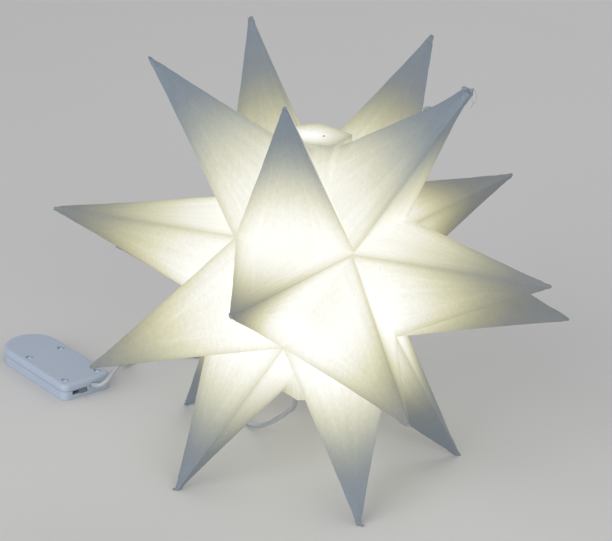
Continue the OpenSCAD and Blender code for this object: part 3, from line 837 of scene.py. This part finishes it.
inside = {
    "turns": 161 / 24,         # of the coil
    "perTurn": 72,             # points drawn on a turn
    "radius": 22.0,            # mm
    "startAngle": 335.0,       # degrees
    "firstRise": 3.0,          # mm up on the first turn
    "rise": 5.0,               # and on each later one
    "tail": (8, 6, 4, 2),      # mm before the coil, its straight end in the sleeve
    "leadEnd": (14, 8),        # mm before the coil, the lead's end in the sleeve
    "wire": 0.8,               # mm across both strands
    "lay": 6.0,                # mm for one twist of the strands
    "leadRoute": [             # mm, up from the lowest valley
        (-2.4, -10.7, -4.7), (-2.4, -10.7, 0.3), (-2.2, -10.9, 6.3), (-1, -12.2, 11.3), (1.5, -15.5, 14.3),
        (4.5, -19.8, 15.5), (8, -23.2, 16.1), (11.6, -24.2, 16.5),
    ],
}
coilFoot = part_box("light_wire")[0].z / mm + inside["wire"] / 2


def coilPoint(turn):
    height = inside["firstRise"] * min(turn, 1) + inside["rise"] * max(turn - 1, 0)
    return polar(inside["radius"], inside["startAngle"] + 360 * turn, coilFoot + height)


def behindCoil(distance):
    a = math.radians(inside["startAngle"])
    return coilPoint(0) - np.array((-math.sin(a), math.cos(a), 0)) * distance


def makeCoil():  # two strands twisted round each other
    drawn = int(inside["turns"] * inside["perTurn"])
    path = [behindCoil(d) for d in inside["tail"]]
    path += [coilPoint(inside["turns"] * i / drawn) for i in range(drawn + 1)]
    bm = bmesh.new()
    for strand in (0, math.pi):
        run = 0.0
        twisted = []
        for i, q in enumerate(path):
            run += np.linalg.norm(q - path[max(i - 1, 0)])
            out = np.array((q[0], q[1], 0)) / math.hypot(q[0], q[1])
            a = 2 * math.pi * run / inside["lay"] + strand
            aside = out * math.cos(a) + np.array((0, 0, math.sin(a)))
            twisted.append((q + aside * inside["wire"] / 4) * mm)
        addTube(bm, twisted, inside["wire"] / 4 * mm, 6)
    piece = newPiece("twisted_wire", bm, wireFinish, "star", smooth=True)
    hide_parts("light_wire")


def makeInnerLead():
    foot = starHeight - coreRadius
    points = [lead["mouth"]] + [(x, y, z + foot) for x, y, z in inside["leadRoute"]]
    points += [behindCoil(d) for d in inside["leadEnd"]]
    makeCable("lead_inside", [q * mm for q in smoothPath(points, lead["steps"])], "inner_lead")


makeCoil()
makeInnerLead()
print("light string made")

finishes = {
    "case_base": shadedCasePlastic,
    "case_lid": shadedCasePlastic,
    "battery_door": shadedCasePlastic,
    "switch_slider": knobPlastic,
    "switch_clip": stripMetal,
    "coin_cell_1": cellSteel,
    "coin_cell_2": cellSteel,
    "bridge_contact": stripMetal,
    "spring_contact_plus": stripMetal,
    "spring_contact_minus": stripMetal,
    "splice_sleeve": sleeveFinish,
    **{drop: dropResin for drop in drops},
}
for node, finish in finishes.items():
    nodes[node].material_slots[0].material = finish
print(len(finishes), "solids finished")

studio = {
    "floor": (0.63, 0.63, 0.635),
    "floorSize": 6.0,               # m to each side
    "floorDrop": 0.1,               # mm under the object
    "world": 0.5,                   # strength of the even light all round
    "aim": (0, 0, 0.08),            # m, where the lamps look
    "lamps": [                      # name, place in m, size in m, watts
        ("key", (-0.75, -1.55, 0.75), 1.6, 19.0),
        ("fill", (1.2, -1.25, 0.55), 1.4, 11.5),
        ("back", (0.2, 1.4, 1.3), 1.2, 4.0),
    ],
    "camera": (183.502, -648.683, 359.368),   # mm
    "cameraRight": (0.954076, 0.295836, 0.047118),
    "cameraUp": (-0.15508, 0.35319, 0.922609),
    "lens": 108.187,                          # mm
}


def makeFloor():
    material, shader, wire = newMaterial("floor")
    cloudy = grain(wire, 6.0)
    tone = studio["floor"]
    feed(shader, BaseColor=mixColour(wire, cloudy, (*[c * 0.97 for c in tone], 1), (*tone, 1)), Roughness=0.8)
    bm = bmesh.new()
    bmesh.ops.create_grid(bm, x_segments=1, y_segments=1, size=studio["floorSize"])
    mesh = bpy.data.meshes.new("floor")
    bm.to_mesh(mesh)
    bm.free()
    mesh.materials.append(material)
    floor = bpy.data.objects.new("floor", mesh)
    floor.location.z = -studio["floorDrop"] * mm
    bpy.context.scene.collection.objects.link(floor)


def makeLights():
    world = bpy.data.worlds.new("studio")
    world.use_nodes = True
    sky = world.node_tree.nodes["Background"]
    sky.inputs["Color"].default_value = (1, 1, 1, 1)
    sky.inputs["Strength"].default_value = studio["world"]
    bpy.context.scene.world = world
    for name, place, size, watts in studio["lamps"]:
        lamp = bpy.data.lights.new(name, "AREA")
        lamp.size = size
        lamp.energy = watts
        holder = bpy.data.objects.new(name, lamp)
        holder.location = place
        holder.rotation_euler = (Vector(studio["aim"]) - Vector(place)).to_track_quat("-Z", "Y").to_euler()
        bpy.context.scene.collection.objects.link(holder)


def makeCamera():
    lens = bpy.data.cameras.new("camera")
    lens.sensor_width = 36
    lens.lens = studio["lens"]
    lens.clip_start = 0.01
    holder = bpy.data.objects.new("camera", lens)
    right = Vector(studio["cameraRight"])
    up = Vector(studio["cameraUp"])
    turn = Matrix((right, up, right.cross(up))).transposed().to_4x4()
    holder.matrix_world = Matrix.Translation(Vector(studio["camera"]) * mm) @ turn
    bpy.context.scene.collection.objects.link(holder)
    bpy.context.scene.camera = holder


makeFloor()
makeLights()
makeCamera()
bpy.context.scene.view_settings.view_transform = "Standard"
print("floor, light and camera set")
